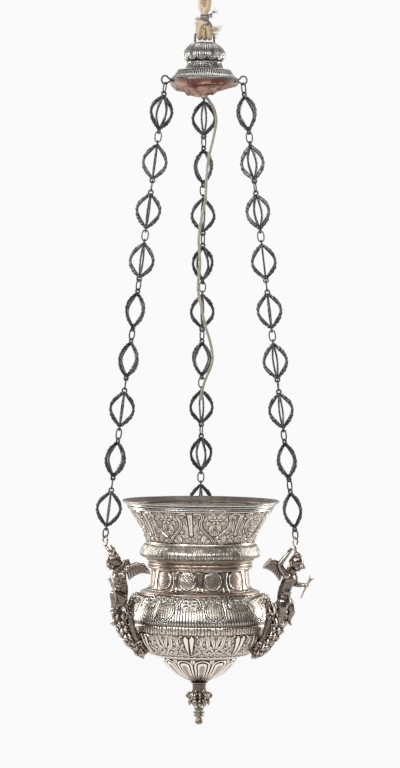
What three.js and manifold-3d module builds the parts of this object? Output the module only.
// Silver sanctuary lamp that hangs on a rope: a gadrooned canopy, three chains of openwork
// cages, and an embossed bowl carried by three winged figures. Millimetres, +Z up.
// The origin is on the lamp's axis, where a hook bears inside the eye of the rope.
import * as THREE from 'three';
import { mergeVertices } from 'three/addons/utils/BufferGeometryUtils.js';
import Module from 'manifold-3d';

const wasm = await Module();
wasm.setup();

// Clearances and sheet
const seatGap = 0.3; // between pieces that touch
const bearingPlay = 0.3; // spare room where one link hangs in another
const sheet = 1.8; // wall of the raised silver shells

// Rope, doubled over a hook above and wound round the bar of the stirrup
const ropeDiameter = 9.6;
const strandGap = 0.5; // between the two strands
const eyeBore = 12.6;
const eyeDrop = 42; // from the bearing point to where the strands lie side by side
const strandTwistTop = 82; // below the bearing point, where one strand starts to pass in front
const strandTwistEnd = 94.5;
const ropeDrop = 126.4; // from the bearing point to the axis of the bar
const ropeRoundTurns = 1.5;
const ropeTurnPitch = 10.8; // along the bar

// Twine seizing round both strands
const twineDiameter = 1.6;
const twineLoops = 4;
const twinePitch = 2.1;
const twineTop = 98; // below the bearing point

// Stirrup
const stirrupWire = 3.6;
const stirrupWidth = 30.4; // between the axes of its legs
const stirrupCorner = 5;
const stirrupRoom = 3; // from the underside of the rope to the dome
const stirrupHead = 3; // radius of each leg's peened head, under the dome
const stirrupHeadHeight = 1.6;

// Canopy
const domeRadius = 34.4;
const domeHeight = 30.5;
const domeCrown = 19; // flat top, where the stirrup's legs go through
const domeFoot = 28.4; // radius of the edge that stands on the collar
const domeWall = 2.2;
const domeLobes = 12;
const domeFlute = 2.4; // depth of the flutes between lobes
const collarHeight = 13;
const collarWaist = 25.2;
const collarFoot = 34.7;
const flangeShoulder = 44.7; // radius where the flange turns down
const flangeRadius = 55;
const flangeHeight = 23.2;
const flangeWall = 2.4;
const lipHeight = 8.5; // upright edge of the flange
const liningDepth = 19.5;
const liningEdge = 1.2; // thickness of its edge inside the lip

// Fixed eyes on the canopy's lip
const chainCount = 3;
const rimEyeRadius = 6.7; // to the middle of its wire
const rimEyeWire = 2.6;
const rimEyeStand = 16.5; // from the lip to the middle of the eye
const rimEyeReach = flangeRadius + rimEyeStand;
const rimEyeDrop = 4.6; // from the top of the lip to the eye's shank
const rimEyeCollar = 2.7; // radius of the shoulder outside the lip and of the head inside
const rimEyeHead = 1.6; // thickness of the head inside

// Chains
const cageCount = 9; // in each chain
const cageWidth = 40;
const cageLength = 53; // between the tips of the openwork body
const cageBar = 5.2; // width of the bars
const plateThickness = 2.4;
const eyeSpan = 59.9; // between the two eyes of a cage
const eyeOuter = 4.9;
const eyeInner = 2.3; // from the middle of an eye to the flat sides of its hole
const linkWire = 2.1;
const linkLength = 19.2;
const linkWidth = 12;
const endLinkLength = 17;
const fuseDepth = 0.45; // how far each cage's own link is set into its eye
const looseTurn = 6; // degrees by which neighbouring cages hang turned
const linkFacets = 8;

// Bowl, whose heights are measured down from its rim
const loopBelowRim = 53.4;
const loopRadius = 7; // to the middle of its wire
const loopWire = 3;
const rimRadius = 125.4;
const rimDepth = 12;
const rimBead = 2;
const rimFlare = 8.9; // how far the rim reaches out beyond the neck
const neckTop = rimRadius - rimFlare;
const neckFoot = 85.4;
const neckDepth = 57;
const bandRadius = 98;
const bandDepth = 24;
const mouldingRadius = 84;
const mouldingDepth = 15;
const waistTop = 77;
const waistFoot = 96;
const waistDepth = 38.5;
const medallionCount = 12;
const medallionRadius = 14.6;
const medallionRelief = 1.4;
const medallionLean = 0.15; // slope of the wall that carries the medallions
const bulgeTop = 94.5;
const bulgeRadius = 114.4;
const bulgeUpperDepth = 46;
const bulgeLowerDepth = 55;
const bulgeFoot = 67;
const floorStep = 0.8; // raised ring of the floor, round the nut, on which a light insert stands
const nutRoom = 2; // between the nut's washer and that ring
const cupRadius = 62;
const cupDepth = 41;
const cupFoot = 13;
const cupLobes = 12;
const cupFlute = 3.4;
const cupWall = 2.4;
const knopRadius = 19;
const knopDepth = 43;
const knopNeck = 10.4;
const knopLeaves = 6;
const knopLeafReach = 24.8;
const tipRadius = 9.6;
const tipNeck = 5.6;
const tipBall = 6.4;
const tipDepth = 27;

// Tie rod that draws the bowl's lower pieces together
const rodDiameter = 6;
const rodInTip = 13;
const rodAboveFloor = 14;
const nutAcross = 12; // over its flats
const nutHeight = 7;
const nutFlange = 11; // radius of the nut's own washer
const nutFlangeHeight = 2;

// Figures and the scroll brackets that they sit on
const bracketThickness = 11.6;
const bracketStand = 44.6; // from the widest of the bulge to the outside of the scroll
const bracketReach = bulgeRadius + bracketStand;
const loopLean = 13.9; // how far the loops on the figures' heads hang outside the scrolls
const loopReach = bracketReach + loopLean;
const bracketTop = 146; // below the bowl's rim
const bracketSeat = 155;
const bracketFoot = 240;
const bracketBar = 15;
const figureHead = 11;
const figureHeight = 96; // from the seat to the middle of the head loop

// Electric flex that hangs beside the back chain
const flexDiameter = 4.5;

// Facets round the revolved pieces
const facets = 24; // a multiple of the chains, so that all three brackets meet like facets
const canopyFacets = 24;
const facetsPerLobe = 3;
const facetsPerMedallion = 2;

// Materials
const silver = new THREE.MeshStandardMaterial({ color: 0xb9b2a8, roughness: 0.34, metalness: 1 });
const darkSilver = new THREE.MeshStandardMaterial({ color: 0x4a4645, roughness: 0.5, metalness: 1 });
const hemp = new THREE.MeshStandardMaterial({ color: 0xbfa67f, roughness: 0.9, metalness: 0 });
const twineViolet = new THREE.MeshStandardMaterial({ color: 0x5b5560, roughness: 0.8, metalness: 0 });
const liningCloth = new THREE.MeshStandardMaterial({ color: 0x9a6a58, roughness: 0.85, metalness: 0 });
const flexSheath = new THREE.MeshStandardMaterial({ color: 0xa09a84, roughness: 0.5, metalness: 0 });

const radians = THREE.MathUtils.degToRad;
const vector = (x, y, z) => new THREE.Vector3(x, y, z);

// Leaves only the positions, with shared corners merged and collapsed triangles dropped
function welded(geometry) {
  const bare = geometry.index ? geometry.toNonIndexed() : geometry.clone();
  bare.deleteAttribute('normal');
  bare.deleteAttribute('uv');
  const merged = mergeVertices(bare, 1e-4);
  const kept = [];
  const index = merged.index.array;
  for (let i = 0; i < index.length; i += 3) {
    const [a, b, c] = [index[i], index[i + 1], index[i + 2]];
    if (a !== b && b !== c && c !== a) kept.push(a, b, c);
  }
  merged.setIndex(kept);
  return merged;
}

function solid(geometry) {
  const closed = welded(geometry);
  return new wasm.Manifold(new wasm.Mesh({
    numProp: 3,
    vertProperties: new Float32Array(closed.attributes.position.array),
    triVerts: new Uint32Array(closed.index.array),
  }));
}

function geometryOf(body) {
  const mesh = body.getMesh();
  const geometry = new THREE.BufferGeometry();
  geometry.setAttribute('position', new THREE.BufferAttribute(new Float32Array(mesh.vertProperties), 3));
  geometry.setIndex(new THREE.BufferAttribute(new Uint32Array(mesh.triVerts), 1));
  return geometry;
}

const unite = (geometries) => geometries.map(solid).reduce((whole, next) => whole.add(next));
const cutAway = (body, geometries) => geometries.map(solid).reduce((left, next) => left.subtract(next), body);

function addPiece(group, name, geometry, material) {
  const mesh = new THREE.Mesh(geometry, material);
  mesh.name = name;
  group.add(mesh);
  return mesh;
}

// A profile given as [radius, height] corners, turned about Z
function revolve(corners, segments = facets) {
  const points = corners.map(([radius, height]) => new THREE.Vector2(radius, height));
  if (THREE.ShapeUtils.area(points) < 0) points.reverse();
  const onAxis = points.some((point) => point.x === 0);
  if (onAxis) {
    while (points[0].x !== 0 || points[points.length - 1].x !== 0) points.push(points.shift());
  } else {
    points.push(points[0].clone());
  }
  return new THREE.LatheGeometry(points, segments).rotateX(Math.PI / 2);
}

// Points of a smooth outline through a few [radius, height] corners
function smooth(corners, count) {
  const line = new THREE.SplineCurve(corners.map(([radius, height]) => new THREE.Vector2(radius, height)));
  return line.getPoints(count).map((point) => [point.x, point.y]);
}

// The inner side of an outline that runs from the top or the axis down and out
function inset(outline, wall) {
  return outline.map(([radius, height], i) => {
    const [radiusBefore, heightBefore] = outline[Math.max(i - 1, 0)];
    const [radiusAfter, heightAfter] = outline[Math.min(i + 1, outline.length - 1)];
    const run = Math.hypot(radiusAfter - radiusBefore, heightAfter - heightBefore);
    return [
      radius + ((heightAfter - heightBefore) / run) * wall,
      height - ((radiusAfter - radiusBefore) / run) * wall,
    ];
  });
}

// A wall that follows an outline, with level edges at its open ends.
// Its inner side is plainer than the outside, unless it is fitted.
function shell(outline, wall, fitted = false) {
  const inner = inset(outline, wall);
  const last = outline.length - 1;
  inner[last][1] = outline[last][1];
  if (outline[0][0] > 0) inner[0][1] = outline[0][1];
  else inner[0][0] = 0;
  const kept = inner.filter((_, i) => i === 0 || i === last || fitted || (i % 2 === 1 && i < last - 1));
  return [...outline, ...kept.reverse()];
}

// Presses flutes into the outside of a revolved shell, deepest where fade is 1
function flute(geometry, count, depth, fade) {
  const position = geometry.attributes.position;
  for (let i = 0; i < position.count; i += 1) {
    const [x, y, z] = [position.getX(i), position.getY(i), position.getZ(i)];
    const radius = Math.hypot(x, y);
    if (radius > 0) {
      const press = depth * fade(radius, z) * Math.max(0, Math.cos(count * Math.atan2(y, x)));
      const scale = (radius - press) / radius;
      position.setXY(i, x * scale, y * scale);
    }
  }
  return geometry;
}

function circle(radius, sides) {
  const shape = new THREE.Shape();
  for (let i = 0; i < sides; i += 1) {
    const angle = (2 * Math.PI * i) / sides;
    const [x, y] = [radius * Math.cos(angle), radius * Math.sin(angle)];
    if (i === 0) shape.moveTo(x, y);
    else shape.lineTo(x, y);
  }
  shape.closePath();
  return shape;
}

function tube(curve, diameter, sides, steps) {
  return new THREE.ExtrudeGeometry(circle(diameter / 2, sides), {
    extrudePath: curve, steps, bevelEnabled: false,
  });
}

// A wire ring in the XZ plane, drawn out along Z to its full length
function wireLink(width, length, wire, sides = 4, around = linkFacets) {
  const ring = new THREE.TorusGeometry((width - wire) / 2, wire / 2, sides, around);
  const stretch = (length - width) / 2;
  const position = ring.attributes.position;
  const nearMiddle = 1e-3;
  for (let i = 0; i < position.count; i += 1) {
    const height = position.getY(i);
    const side = Math.abs(height) < nearMiddle ? 0 : Math.sign(height);
    position.setY(i, height + side * stretch);
  }
  return ring.rotateX(Math.PI / 2);
}

// A bar from one point to another, with its own radius at each end
function limb(from, to, radiusFrom, radiusTo, sides = 5) {
  const span = to.clone().sub(from);
  const bar = new THREE.CylinderGeometry(radiusTo, radiusFrom, span.length(), sides);
  bar.translate(0, span.length() / 2, 0);
  bar.applyQuaternion(new THREE.Quaternion().setFromUnitVectors(vector(0, 1, 0), span.normalize()));
  return bar.translate(from.x, from.y, from.z);
}

// Radius of a many-sided hole whose flats stay clear of a round bar
const clearHole = (diameter, sides) => (diameter / 2 + seatGap) / Math.cos(Math.PI / sides);

function ball(centre, radii, turn = 0, across = 8, down = 6) {
  const shape = new THREE.SphereGeometry(1, across, down).rotateX(Math.PI / 2);
  shape.scale(radii.x, radii.y, radii.z).rotateY(turn);
  return shape.translate(centre.x, centre.y, centre.z);
}

// Heights of the suspension, from the origin down
const barZ = -ropeDrop;
const turnRadius = stirrupWire / 2 + seatGap + ropeDiameter / 2;
const domeTopZ = barZ - turnRadius - ropeDiameter / 2 - stirrupRoom;
const collarTopZ = domeTopZ - domeHeight - seatGap;
const flangeTopZ = collarTopZ - collarHeight - seatGap;
const flangeFootZ = flangeTopZ - flangeHeight;
const rimEyeZ = flangeFootZ + lipHeight - rimEyeDrop;
const chainTopZ = rimEyeZ - rimEyeRadius;

// How far a chain's own wire stands off the wire or plate that it hangs on
const standOff = (halfWidth) => seatGap + halfWidth * Math.tan(Math.PI / linkFacets);
const firstLinkRise = rimEyeWire / 2 + linkWire / 2 + bearingPlay + seatGap;
const linkDrop = linkLength - linkWire;
const cageEyeDrop = linkDrop - linkWire / 2 + fuseDepth + eyeInner;
const nextLinkRise = eyeInner - standOff(plateThickness / 2) - linkWire / 2;
const pitch = cageEyeDrop + eyeSpan + nextLinkRise;
const endLinkDrop = endLinkLength - linkWire;
const loopRise = linkWire / 2 + loopWire / 2 + bearingPlay + seatGap;
const chainLength = cageCount * pitch + endLinkDrop - firstLinkRise - loopRise;
const chainSlope = Math.asin((loopReach - rimEyeReach) / chainLength);
const loopTopZ = chainTopZ - chainLength * Math.cos(chainSlope);
const bowlZ = loopTopZ + loopBelowRim;

// Heights of the bowl's pieces, from its rim down
const neckZ = -rimDepth - seatGap;
const bandZ = neckZ - neckDepth - seatGap;
const mouldingZ = bandZ - bandDepth - seatGap;
const waistZ = mouldingZ - mouldingDepth - seatGap;
const bulgeZ = waistZ - waistDepth - seatGap;
const equatorZ = bulgeZ - bulgeUpperDepth;
const bulgeFootZ = equatorZ - seatGap - bulgeLowerDepth;
const cupZ = bulgeFootZ - seatGap;
const knopZ = cupZ - cupDepth - seatGap;
const tipZ = knopZ - knopDepth - seatGap;
const rodHole = rodDiameter / 2 + seatGap;

// The rope's two strands, its eye, and the places where its turns begin and end
const strandOffset = (ropeDiameter + strandGap) / 2;
const turnShift = (ropeRoundTurns * ropeTurnPitch) / 2;

function ropeCurve() {
  const eyeRadius = (eyeBore + ropeDiameter) / 2;
  const eyeZ = -eyeBore / 2;
  const side = (sign) => [
    vector(sign * eyeRadius, 0, eyeZ),
    vector(sign * eyeRadius * 0.86, 0, eyeZ - eyeRadius),
    vector(sign * strandOffset, 0, -eyeDrop),
    vector(sign * strandOffset, 0, -strandTwistTop),
    vector(sign * strandOffset * Math.SQRT1_2, -sign * strandOffset * Math.SQRT1_2,
      -(strandTwistTop + strandTwistEnd) / 2),
    vector(0, -sign * strandOffset, -strandTwistEnd),
    vector(0, -sign * strandOffset, -twineTop - twineLoops * twinePitch - twineDiameter),
    vector(-sign * turnShift * 0.7, -sign * turnRadius, barZ + 1.5 * ropeDiameter),
    vector(-sign * turnShift, -sign * turnRadius, barZ + 0.75 * ropeDiameter),
    vector(-sign * turnShift, -sign * turnRadius, barZ + seatGap),
  ];
  const half = eyeRadius * Math.SQRT1_2;
  const crown = [
    vector(-half, 0, eyeZ + half), vector(0, 0, eyeZ + eyeRadius), vector(half, 0, eyeZ + half),
  ];
  return new THREE.CatmullRomCurve3([...side(-1).reverse(), ...crown, ...side(1)], false, 'centripetal');
}

// The round turns on the bar, from the strand in front to the strand behind, square at both ends
class RoundTurns extends THREE.Curve {
  getPoint(t) {
    const angle = -2 * Math.PI * ropeRoundTurns * t;
    return vector(
      -turnShift + 2 * turnShift * THREE.MathUtils.smoothstep(t, 0, 1),
      -turnRadius * Math.cos(angle),
      barZ + turnRadius * Math.sin(angle),
    );
  }
}

// The twine's loops round both strands, which lie one in front of the other
class Seizing extends THREE.Curve {
  getPoint(t) {
    const reach = (ropeDiameter + twineDiameter) / 2 + 2 * seatGap;
    const straight = 2 * strandOffset;
    const halfLoop = straight + Math.PI * reach;
    const travelled = 2 * halfLoop * twineLoops * t + straight / 2;
    const side = Math.floor(travelled / halfLoop) % 2 ? -1 : 1;
    const along = travelled % halfLoop;
    const bend = Math.max(0, along - straight) / reach;
    return vector(
      side * reach * Math.cos(bend),
      side * (Math.min(along, straight) - strandOffset + reach * Math.sin(bend)),
      -twineTop - twineLoops * twinePitch * t,
    );
  }
}

// Least distance between the surfaces of neighbouring turns of a wound tube
function leastTurnGap(curve, turns, diameter) {
  const perTurn = 48;
  const points = curve.getPoints(Math.round(perTurn * turns));
  let least = Infinity;
  for (let i = 0; i < points.length; i += 1) {
    for (let j = i + perTurn / 2; j < points.length; j += 1) {
      least = Math.min(least, points[i].distanceTo(points[j]) - diameter);
    }
  }
  return least;
}

function addRope(group) {
  const strandSteps = 28;
  const turnSteps = 20;
  const twineSteps = 14;
  const turns = new RoundTurns();
  const seizing = new Seizing();
  addPiece(group, 'rope', tube(ropeCurve(), ropeDiameter, 8, strandSteps), hemp);
  addPiece(group, 'rope_turns', tube(turns, ropeDiameter, 6, Math.round(turnSteps * ropeRoundTurns)), hemp);
  addPiece(group, 'twine_seizing', tube(seizing, twineDiameter, 5, twineSteps * twineLoops), twineViolet);
  console.log('least gap in rope_turns', leastTurnGap(turns, ropeRoundTurns, ropeDiameter).toFixed(2));
  console.log('least gap in twine_seizing', leastTurnGap(seizing, twineLoops, twineDiameter).toFixed(2));
}

// Stirrup: a bent wire whose legs go through the dome and are peened under it
function addStirrup(group) {
  const legX = stirrupWidth / 2;
  const footZ = domeTopZ - domeWall - seatGap;
  const bendX = legX - stirrupCorner;
  const bendZ = barZ - stirrupCorner;
  const path = new THREE.CurvePath();
  path.add(new THREE.LineCurve3(vector(-legX, 0, footZ), vector(-legX, 0, bendZ)));
  path.add(new THREE.QuadraticBezierCurve3(
    vector(-legX, 0, bendZ), vector(-legX, 0, barZ), vector(-bendX, 0, barZ),
  ));
  path.add(new THREE.LineCurve3(vector(-bendX, 0, barZ), vector(bendX, 0, barZ)));
  path.add(new THREE.QuadraticBezierCurve3(
    vector(bendX, 0, barZ), vector(legX, 0, barZ), vector(legX, 0, bendZ),
  ));
  path.add(new THREE.LineCurve3(vector(legX, 0, bendZ), vector(legX, 0, footZ)));
  const heads = [-1, 1].map((side) => limb(
    vector(side * legX, 0, footZ - stirrupHeadHeight), vector(side * legX, 0, footZ),
    stirrupHead, stirrupHead,
  ));
  const body = unite([tube(path, stirrupWire, 6, 12), ...heads]);
  addPiece(group, 'stirrup', geometryOf(body), darkSilver);
}

// Canopy: a gadrooned dome on a moulded collar, and a flange with an upright lip
function addCanopy(group) {
  const domeOutline = [
    [0, domeTopZ],
    ...smooth([
      [domeCrown, domeTopZ],
      [domeRadius * 0.88, domeTopZ - domeHeight * 0.32],
      [domeRadius, domeTopZ - domeHeight * 0.72],
      [domeFoot, domeTopZ - domeHeight],
    ], 4),
  ];
  const fade = (radius, z) => {
    const down = (domeTopZ - z) / domeHeight;
    const outside = radius > domeFoot - domeWall ? 1 : 0;
    return outside * Math.sin(Math.PI * THREE.MathUtils.clamp(down, 0, 1)) ** 0.5;
  };
  const domeShell = revolve(shell(domeOutline, domeWall), facetsPerLobe * domeLobes);
  const dome = flute(domeShell, domeLobes, domeFlute, fade);
  const legHoles = [-1, 1].map((side) => limb(
    vector((side * stirrupWidth) / 2, 0, domeTopZ - 2 * domeWall),
    vector((side * stirrupWidth) / 2, 0, domeTopZ + domeWall),
    clearHole(stirrupWire, 6), clearHole(stirrupWire, 6), 6,
  ));
  addPiece(group, 'canopy_dome', geometryOf(cutAway(solid(dome), legHoles)), silver);

  const collarFootZ = collarTopZ - collarHeight;
  const collarOutline = [
    [domeFoot, collarTopZ],
    [domeFoot, collarTopZ - collarHeight * 0.3],
    [collarWaist, collarTopZ - collarHeight * 0.42],
    [collarWaist + 2, collarTopZ - collarHeight * 0.75],
    [collarFoot, collarFootZ + sheet],
    [collarFoot, collarFootZ],
  ];
  addPiece(group, 'canopy_collar', revolve(shell(collarOutline, domeWall), 20), silver);

  const flangeOutline = [
    [collarWaist, flangeTopZ],
    ...smooth([
      [flangeShoulder, flangeTopZ - 1],
      [(flangeShoulder + flangeRadius) / 2, flangeTopZ - (flangeHeight - lipHeight) * 0.62],
      [flangeRadius, flangeFootZ + lipHeight],
    ], 3),
    [flangeRadius, flangeFootZ],
  ];
  const shankHoles = eachChain((turn) => limb(
    vector(flangeRadius - 3 * flangeWall, 0, rimEyeZ), vector(flangeRadius + flangeWall, 0, rimEyeZ),
    rimEyeWire / 2 + seatGap, rimEyeWire / 2 + seatGap,
  ).rotateZ(turn));
  const flange = cutAway(solid(revolve(shell(flangeOutline, flangeWall, true), canopyFacets)), shankHoles);
  addPiece(group, 'canopy_flange', geometryOf(flange), silver);

  const liningTopZ = flangeFootZ + liningEdge;
  const liningRadius = flangeRadius - flangeWall - seatGap;
  const lining = [
    [0, liningTopZ],
    [liningRadius, liningTopZ],
    ...smooth([
      [liningRadius, flangeFootZ],
      [liningRadius * 0.72, flangeFootZ - liningDepth * 0.55],
      [liningRadius * 0.3, flangeFootZ - liningDepth * 0.92],
      [0, flangeFootZ - liningDepth],
    ], 5),
  ];
  const [flexStart, , flexOut] = flexRoute.map((point) => vector(...point));
  const beyond = flexOut.clone().sub(flexStart).multiplyScalar(0.3);
  const holeSides = 8;
  const holeRadius = clearHole(flexDiameter, holeSides);
  const flexHole = limb(
    flexStart.clone().sub(beyond), flexOut.clone().add(beyond), holeRadius, holeRadius, holeSides,
  );
  const cloth = cutAway(solid(revolve(lining, canopyFacets)), [flexHole]);
  addPiece(group, 'canopy_lining', geometryOf(cloth), liningCloth);
}

// The three directions from the axis: one chain behind, two in front
const chainNames = ['back', 'left', 'right'];
const chainTurns = chainNames.map((name, i) => radians(90 + (360 / chainCount) * i));
const eachChain = (make) => chainTurns.map((turn, i) => make(turn, chainNames[i]));

// A fixed eye: a ring on a tapered shank that goes through the lip and is headed inside it
function rimEye() {
  const headFace = flangeRadius - flangeWall - seatGap - rimEyeCollar * Math.tan(Math.PI / canopyFacets);
  const ring = new THREE.TorusGeometry(rimEyeRadius, rimEyeWire / 2, 4, 10).rotateX(Math.PI / 2);
  const shoulder = flangeRadius + seatGap;
  const neck = rimEyeReach - rimEyeRadius;
  const wire = rimEyeWire / 2;
  return geometryOf(unite([
    ring.translate(rimEyeReach, 0, 0),
    limb(vector(shoulder, 0, 0), vector(neck, 0, 0), rimEyeCollar, wire),
    limb(vector(headFace - rimEyeHead / 2, 0, 0), vector(shoulder + rimEyeHead / 2, 0, 0), wire, wire),
    limb(vector(headFace - rimEyeHead, 0, 0), vector(headFace, 0, 0), rimEyeCollar, rimEyeCollar),
  ]));
}

// One openwork plate in the XZ plane: a leaf-shaped frame with an eye above it
function cagePlate() {
  const [halfWidth, halfLength] = [cageWidth / 2, cageLength / 2];
  const side = [
    [halfWidth * 0.2, -halfLength],
    [halfWidth * 0.64, -halfLength * 0.66],
    [halfWidth, 0],
    [halfWidth * 0.66, halfLength * 0.66],
    [eyeOuter, halfLength * 0.96],
    [eyeOuter * 0.6, eyeSpan / 2 + eyeOuter],
  ];
  const frame = new THREE.Shape();
  side.forEach(([x, z], i) => (i ? frame.lineTo(x, z) : frame.moveTo(x, z)));
  [...side].reverse().forEach(([x, z]) => frame.lineTo(-x, z));
  frame.closePath();
  const windowX = halfWidth - 1.4 * cageBar;
  const windowZ = halfLength * 0.28;
  const windowTip = halfLength - 1.5 * cageBar;
  const window = new THREE.Path();
  window.moveTo(0, -windowTip);
  window.lineTo(windowX, -windowZ);
  window.lineTo(windowX, windowZ);
  window.lineTo(0, windowTip);
  window.lineTo(-windowX, windowZ);
  window.lineTo(-windowX, -windowZ);
  window.closePath();
  const hole = new THREE.Path();
  hole.moveTo(-eyeInner, eyeSpan / 2 - eyeInner);
  hole.lineTo(eyeInner, eyeSpan / 2 - eyeInner);
  hole.lineTo(eyeInner, eyeSpan / 2 + eyeInner);
  hole.lineTo(-eyeInner, eyeSpan / 2 + eyeInner);
  hole.closePath();
  frame.holes.push(window, hole);
  const plate = new THREE.ExtrudeGeometry(frame, { depth: plateThickness, bevelEnabled: false });
  return plate.translate(0, 0, -plateThickness / 2).rotateX(Math.PI / 2);
}

// A cage with the link that it hangs by: two plates crossed, one with its eye up and one down
function chainUnit() {
  const middle = -cageEyeDrop - eyeSpan / 2;
  const upper = cagePlate();
  const lower = cagePlate().rotateX(Math.PI).rotateZ(Math.PI / 2);
  const link = wireLink(linkWidth, linkLength, linkWire).rotateZ(Math.PI / 2);
  return geometryOf(unite([
    upper.translate(0, 0, middle),
    lower.translate(0, 0, middle),
    link.translate(0, 0, -linkDrop / 2),
  ]));
}

function addChain(group, turn, name) {
  const chain = new THREE.Group();
  chain.position.set(rimEyeReach * Math.cos(turn), rimEyeReach * Math.sin(turn), chainTopZ);
  chain.rotation.set(0, -chainSlope, turn, 'ZYX');
  const unit = chainUnit();
  for (let i = 0; i < cageCount; i += 1) {
    const cage = addPiece(chain, `chain_${name}_cage_${i + 1}`, unit, darkSilver);
    cage.position.z = firstLinkRise - i * pitch;
    cage.rotation.z = (i % 2) * (Math.PI / 2) + radians(looseTurn) * Math.sin(2.4 * i + turn);
  }
  const endLink = wireLink(linkWidth * 0.9, endLinkLength, linkWire);
  const end = addPiece(chain, `chain_${name}_end_link`, endLink, darkSilver);
  end.position.z = firstLinkRise - cageCount * pitch - endLinkDrop / 2;
  group.add(chain);
}

// Outlines of the bulge, which the brackets are also cut to
const upperBulge = smooth([
  [bulgeTop, bulgeZ],
  [bulgeTop + (bulgeRadius - bulgeTop) * 0.62, bulgeZ - bulgeUpperDepth * 0.42],
  [bulgeRadius, equatorZ],
], 4);
const lowerBulge = smooth([
  [bulgeRadius, equatorZ - seatGap],
  [bulgeRadius * 0.985, equatorZ - bulgeLowerDepth * 0.26],
  [bulgeRadius * 0.9, equatorZ - bulgeLowerDepth * 0.66],
  [bulgeRadius * 0.75, equatorZ - bulgeLowerDepth * 0.88],
  [bulgeFoot, bulgeFootZ],
], 5);

function addBowlShells(group) {
  const rim = [
    [rimRadius, -rimBead],
    [rimRadius - rimBead, 0],
    [rimRadius - 2 * rimBead - sheet, -rimBead],
    [neckTop - sheet, -rimDepth + sheet],
    [neckTop - sheet, -rimDepth],
    [neckTop + sheet, -rimDepth],
    [rimRadius - 1.5 * rimBead, -2 * rimBead],
  ];
  addPiece(group, 'bowl_rim', revolve(rim), silver);

  const neck = smooth([
    [neckTop, neckZ],
    [neckTop - (neckTop - neckFoot) * 0.62, neckZ - neckDepth * 0.56],
    [neckFoot, neckZ - neckDepth],
  ], 4);
  addPiece(group, 'bowl_neck', revolve(shell(neck, sheet)), silver);

  const band = smooth([
    [neckFoot + sheet, bandZ],
    [bandRadius - 3.5, bandZ - bandDepth * 0.32],
    [bandRadius, bandZ - bandDepth * 0.72],
    [mouldingRadius + sheet, bandZ - bandDepth],
  ], 4);
  addPiece(group, 'ribbed_band', revolve(shell(band, sheet)), silver);

  const moulding = [
    [mouldingRadius + sheet, mouldingZ],
    [mouldingRadius + sheet, mouldingZ - mouldingDepth * 0.22],
    [mouldingRadius - 2 * sheet, mouldingZ - mouldingDepth * 0.4],
    [mouldingRadius, mouldingZ - mouldingDepth * 0.62],
    [mouldingRadius, mouldingZ - mouldingDepth],
    [waistTop - 2 * sheet, mouldingZ - mouldingDepth],
    [waistTop - 2 * sheet, mouldingZ],
  ];
  addPiece(group, 'moulding_ring', revolve(moulding), silver);

  addPiece(group, 'bulge_upper', revolve(shell(upperBulge, sheet)), silver);
  const floorTop = bulgeFootZ + 2 * sheet;
  const ringInner = nutFlange + nutRoom;
  const lowerInner = inset(lowerBulge, sheet).filter((_, i) => i % 2 === 0 && i < lowerBulge.length - 1);
  lowerInner[0][1] = lowerBulge[0][1];
  const lower = [
    ...lowerBulge, [rodHole, bulgeFootZ], [rodHole, floorTop], [ringInner, floorTop],
    [ringInner, floorTop + floorStep], [bulgeFoot, floorTop + floorStep], ...lowerInner.reverse(),
  ];
  addPiece(group, 'bulge_lower', revolve(lower), silver);
}

// Waist: a flared drum with a ring of round medallions raised on it
function addWaist(group) {
  const outline = [
    [waistTop, waistZ],
    [waistTop + medallionLean * waistDepth * 0.8, waistZ - waistDepth * 0.8],
    [waistFoot, waistZ - waistDepth + sheet],
    [waistFoot, waistZ - waistDepth],
  ];
  const around = facetsPerMedallion * medallionCount;
  const wall = solid(revolve(shell(outline, sheet), around).rotateZ(Math.PI / around));
  const middle = waistDepth * 0.41;
  const depth = medallionRelief + 0.8 * sheet;
  const medallions = Array.from({ length: medallionCount }, (_, i) => {
    const disc = new THREE.CylinderGeometry(medallionRadius * 0.92, medallionRadius, depth, 8);
    disc.rotateZ(-Math.PI / 2).rotateY(-Math.atan(medallionLean));
    disc.translate(waistTop + medallionLean * middle + medallionRelief - depth / 2, 0, waistZ - middle);
    return disc.rotateZ((2 * Math.PI * (i + 0.5)) / medallionCount);
  });
  const body = medallions.map(solid).reduce((whole, next) => whole.add(next), wall);
  addPiece(group, 'waist_drum', geometryOf(body), silver);
}

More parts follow.
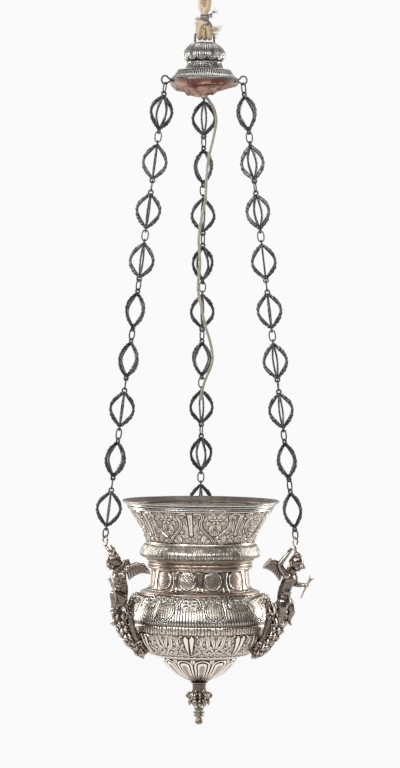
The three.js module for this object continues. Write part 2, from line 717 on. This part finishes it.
// Lower cup with its gadroons, the leafy knop, the turned tip, and the rod through them
function addPendant(group) {
  const cup = smooth([
    [cupRadius, cupZ],
    [cupRadius * 0.9, cupZ - cupDepth * 0.3],
    [cupRadius * 0.62, cupZ - cupDepth * 0.72],
    [cupFoot, cupZ - cupDepth],
  ], 5);
  const cupInner = inset(cup, cupWall + cupFlute).filter((_, i) => i % 2 === 0 && i < cup.length - 1);
  cupInner[0][1] = cupZ;
  const cupFloor = [[rodHole, cupZ - cupDepth], [rodHole, cupZ - cupDepth + cupWall]];
  const cupProfile = [...cup, ...cupFloor, ...cupInner.reverse()];
  const wallHere = (z) => cup.find(([, height]) => height <= z + 1e-3) ?? cup[cup.length - 1];
  const fade = (radius, z) => {
    const outside = radius > wallHere(z)[0] - 0.1 && radius > 2 * cupFoot ? 1 : 0;
    return outside * (radius / cupRadius);
  };
  const cupShell = revolve(cupProfile, facetsPerLobe * cupLobes);
  addPiece(group, 'lower_cup', flute(cupShell, cupLobes, cupFlute, fade), silver);

  const knop = [
    [rodHole, knopZ],
    [cupFoot, knopZ],
    [knopNeck, knopZ - knopDepth * 0.1],
    [knopNeck, knopZ - knopDepth * 0.28],
    [knopRadius, knopZ - knopDepth * 0.44],
    [knopRadius * 0.95, knopZ - knopDepth * 0.62],
    [knopNeck * 0.95, knopZ - knopDepth * 0.9],
    [knopNeck, knopZ - knopDepth],
    [rodHole, knopZ - knopDepth],
  ];
  const leaves = Array.from({ length: knopLeaves }, (_, i) => ball(
    vector(knopLeafReach - 5, 0, knopZ - knopDepth * 0.54), vector(5.5, 6, 9), 0.5, 5, 3,
  ).rotateZ((2 * Math.PI * i) / knopLeaves));
  addPiece(group, 'knop', geometryOf(unite([revolve(knop, 14), ...leaves])), silver);

  const ballZ = tipZ - tipDepth + tipBall;
  const tip = [
    [0, tipZ - rodInTip - 1],
    [rodHole, tipZ - rodInTip - 1],
    [rodHole, tipZ],
    [tipRadius * 0.85, tipZ],
    [tipRadius, tipZ - tipDepth * 0.2],
    [tipNeck, tipZ - tipDepth * 0.34],
    [tipRadius * 0.85, tipZ - tipDepth * 0.44],
    [tipNeck, ballZ + tipBall * 0.7],
    [tipBall, ballZ],
    [tipBall * 0.75, ballZ - tipBall * 0.66],
    [0, ballZ - tipBall],
  ];
  addPiece(group, 'finial_tip', revolve(tip, 16), silver);

  const floorTop = bulgeFootZ + 2 * sheet;
  const rodTopZ = floorTop + rodAboveFloor;
  const rodFoot = vector(0, 0, tipZ - rodInTip);
  const rod = limb(rodFoot, vector(0, 0, rodTopZ), rodDiameter / 2, rodDiameter / 2, 10);
  addPiece(group, 'tie_rod', rod, darkSilver);

  const nutZ = floorTop + seatGap;
  const nutRadius = nutAcross / Math.sqrt(3);
  const nut = unite([
    limb(vector(0, 0, nutZ), vector(0, 0, nutZ + nutFlangeHeight), nutFlange, nutFlange, 16),
    limb(vector(0, 0, nutZ + nutFlangeHeight / 2), vector(0, 0, nutZ + nutHeight), nutRadius, nutRadius, 6),
  ]);
  const bore = limb(vector(0, 0, nutZ - 1), vector(0, 0, nutZ + nutHeight + 1), rodHole, rodHole, 10);
  addPiece(group, 'tie_nut', geometryOf(cutAway(nut, [bore])), darkSilver);
}

// Scroll bracket in the XZ plane: a C-shaped arm, cut to the bulge that it is fixed to
function bracket() {
  const outside = new THREE.Shape();
  const bar = bracketBar;
  const innerX = bulgeTop - bar * 0.27;
  outside.moveTo(innerX, -bracketTop - bar * 0.27);
  outside.quadraticCurveTo(
    bulgeRadius + bar * 0.4, -bracketTop + bar * 0.27, bracketReach - bar * 1.6, -bracketSeat,
  );
  outside.lineTo(bracketReach - bar * 0.53, -bracketSeat);
  outside.bezierCurveTo(
    bracketReach + bar * 0.27, -bracketSeat - bar * 1.6,
    bracketReach + bar * 0.13, -bracketFoot + bar * 2,
    bulgeRadius - bar * 0.8, -bracketFoot,
  );
  outside.lineTo(bulgeRadius - bar * 0.93, -bracketFoot + bar * 0.5);
  outside.bezierCurveTo(
    bracketReach - bar * 0.87, -bracketFoot + bar * 1.6,
    bracketReach - bar, -bracketSeat - bar * 1.73,
    bracketReach - bar * 1.53, -bracketSeat - bar,
  );
  const lowerEdge = -bracketTop - bar * 1.33;
  outside.quadraticCurveTo(bulgeRadius + bar * 0.53, lowerEdge - bar * 0.07, innerX, lowerEdge);
  outside.closePath();
  const arm = new THREE.ExtrudeGeometry(outside, {
    depth: bracketThickness, bevelEnabled: false, curveSegments: 6,
  });
  arm.translate(0, 0, -bracketThickness / 2).rotateX(Math.PI / 2);
  const grown = (outline) => outline.map(([radius, height]) => [radius + seatGap, height]);
  const clearUpper = grown(upperBulge);
  const clearLower = grown(lowerBulge);
  const bulge = revolve([
    [0, bulgeZ + 8], [bulgeTop + seatGap, bulgeZ + 8], ...clearUpper, ...clearLower,
    [bulgeFoot + seatGap, -bracketFoot - bar], [0, -bracketFoot - bar],
  ]).rotateZ(-chainTurns[0]);
  return geometryOf(cutAway(solid(arm), [bulge]));
}

// Winged figure astride its bracket, with the loop that the chain takes hold of.
// Places go outwards from the hips to the loop, sideways by heads, and up from the seat to the loop.
function figure() {
  const seat = -bracketSeat + seatGap;
  const hipReach = bracketReach - bracketBar;
  const at = (along, side, up) => vector(
    hipReach + (loopReach - hipReach) * along, side * figureHead, seat + figureHeight * up,
  );
  const bulk = (x, y, z) => vector(x, y, z).multiplyScalar(figureHead);
  const arm = (from, to, radiusFrom, radiusTo) => limb(
    from, to, radiusFrom * figureHead, radiusTo * figureHead, 4,
  );
  const mirrored = (make) => [make(1), make(-1)];
  const loop = new THREE.TorusGeometry(loopRadius, loopWire / 2, 4, linkFacets);
  loop.rotateX(Math.PI / 2).rotateZ(Math.PI / 2);
  const loopFoot = vector(loopReach, 0, -loopBelowRim - 2 * loopRadius + 0.3 * loopWire);
  const hand = at(0.9, 1.82, 0.38);
  const torchHalf = bulk(0.75, 0.08, 1.6);
  const wing = (side) => ball(vector(0, 0, 0), bulk(2.27, 0.41, 0.86), 0, 5, 3)
    .rotateZ(side * radians(128))
    .translate(hipReach - 0.55 * figureHead, side * 1.82 * figureHead, seat + figureHeight * 0.53);
  const leg = (side) => [
    arm(at(0, side * 0.64, 0.13), at(0.66, side * 1.32, 0.06), 0.77, 0.6),
    arm(at(0.5, side * 1.23, 0.12), at(0.62, side * 1.18, -0.25), 0.6, 0.33),
  ];
  const body = unite([
    ball(at(0.62, 0, 0.76), bulk(1, 0.95, 1.25), 0, 7, 4),
    ball(at(0.14, 0, 0.27), bulk(1.09, 1.23, 2.82), 0.2, 7, 5),
    loop.translate(loopReach, 0, -loopBelowRim - loopRadius),
    limb(at(0.36, 0, 0.5), loopFoot, 0.64 * figureHead, loopWire),
    arm(at(0.26, -0.36, 0.5), at(0.14, -2, 0.7), 0.51, 0.36),
    arm(at(0.16, -1.86, 0.66), at(0.3, -1.73, 0.92), 0.38, 0.29),
    arm(at(0.26, 0.36, 0.52), hand, 0.51, 0.33),
    arm(hand.clone().sub(torchHalf), hand.clone().add(torchHalf), 0.16, 0.27),
    ...mirrored(wing),
    ...mirrored(leg).flat(),
  ]);
  const room = bracketReach - bulgeTop;
  const astride = new THREE.BoxGeometry(room, bracketThickness + 2 * seatGap, room)
    .translate(hipReach, 0, seat - room / 2);
  return geometryOf(cutAway(body, [astride]));
}

function addBowl(group) {
  const bowl = new THREE.Group();
  bowl.position.z = bowlZ;
  addBowlShells(bowl);
  addWaist(bowl);
  addPendant(bowl);
  const [bracketShape, figureShape] = [bracket(), figure()];
  eachChain((turn, name) => {
    addPiece(bowl, `bracket_${name}`, bracketShape, silver).rotation.z = turn;
    addPiece(bowl, `figure_${name}`, figureShape, silver).rotation.z = turn;
  });
  group.add(bowl);
}

// Route of the flex, from its hole in the lining to its cut end in front of the back chain
const flexRoute = [
  [-9, 31, -208.2], [0, 38.5, -220.4], [5.5, 43, -227.9], [14.7, 51, -240.6],
  [20, 54, -260], [15, 58.6, -293], [8, 62.8, -323],
  [4.4, 69.2, -368], [3.6, 72.3, -390], [-2.1, 76, -416], [-6.8, 80.8, -451], [-4.3, 86.5, -492],
  [-7.2, 92.6, -533], [-2.1, 96.3, -561], [5.6, 101, -595], [13.4, 104.6, -620], [17.5, 108, -644],
  [15.3, 110, -659], [3.8, 114.3, -688], [-1.2, 118, -714.6],
];

function addFlex(group) {
  const route = new THREE.CatmullRomCurve3(flexRoute.map((point) => vector(...point)), false, 'centripetal');
  addPiece(group, 'flex', tube(route, flexDiameter, 8, 40), flexSheath);
  console.log('flex length', route.getLength().toFixed(1));
}

const lamp = new THREE.Group();
addRope(lamp);
addStirrup(lamp);
addCanopy(lamp);
const eyeShape = rimEye();
eachChain((turn, name) => {
  const eye = addPiece(lamp, `rim_eye_${name}`, eyeShape, darkSilver);
  eye.position.z = rimEyeZ;
  eye.rotation.z = turn;
  addChain(lamp, turn, name);
});
addFlex(lamp);
addBowl(lamp);

export default lamp;
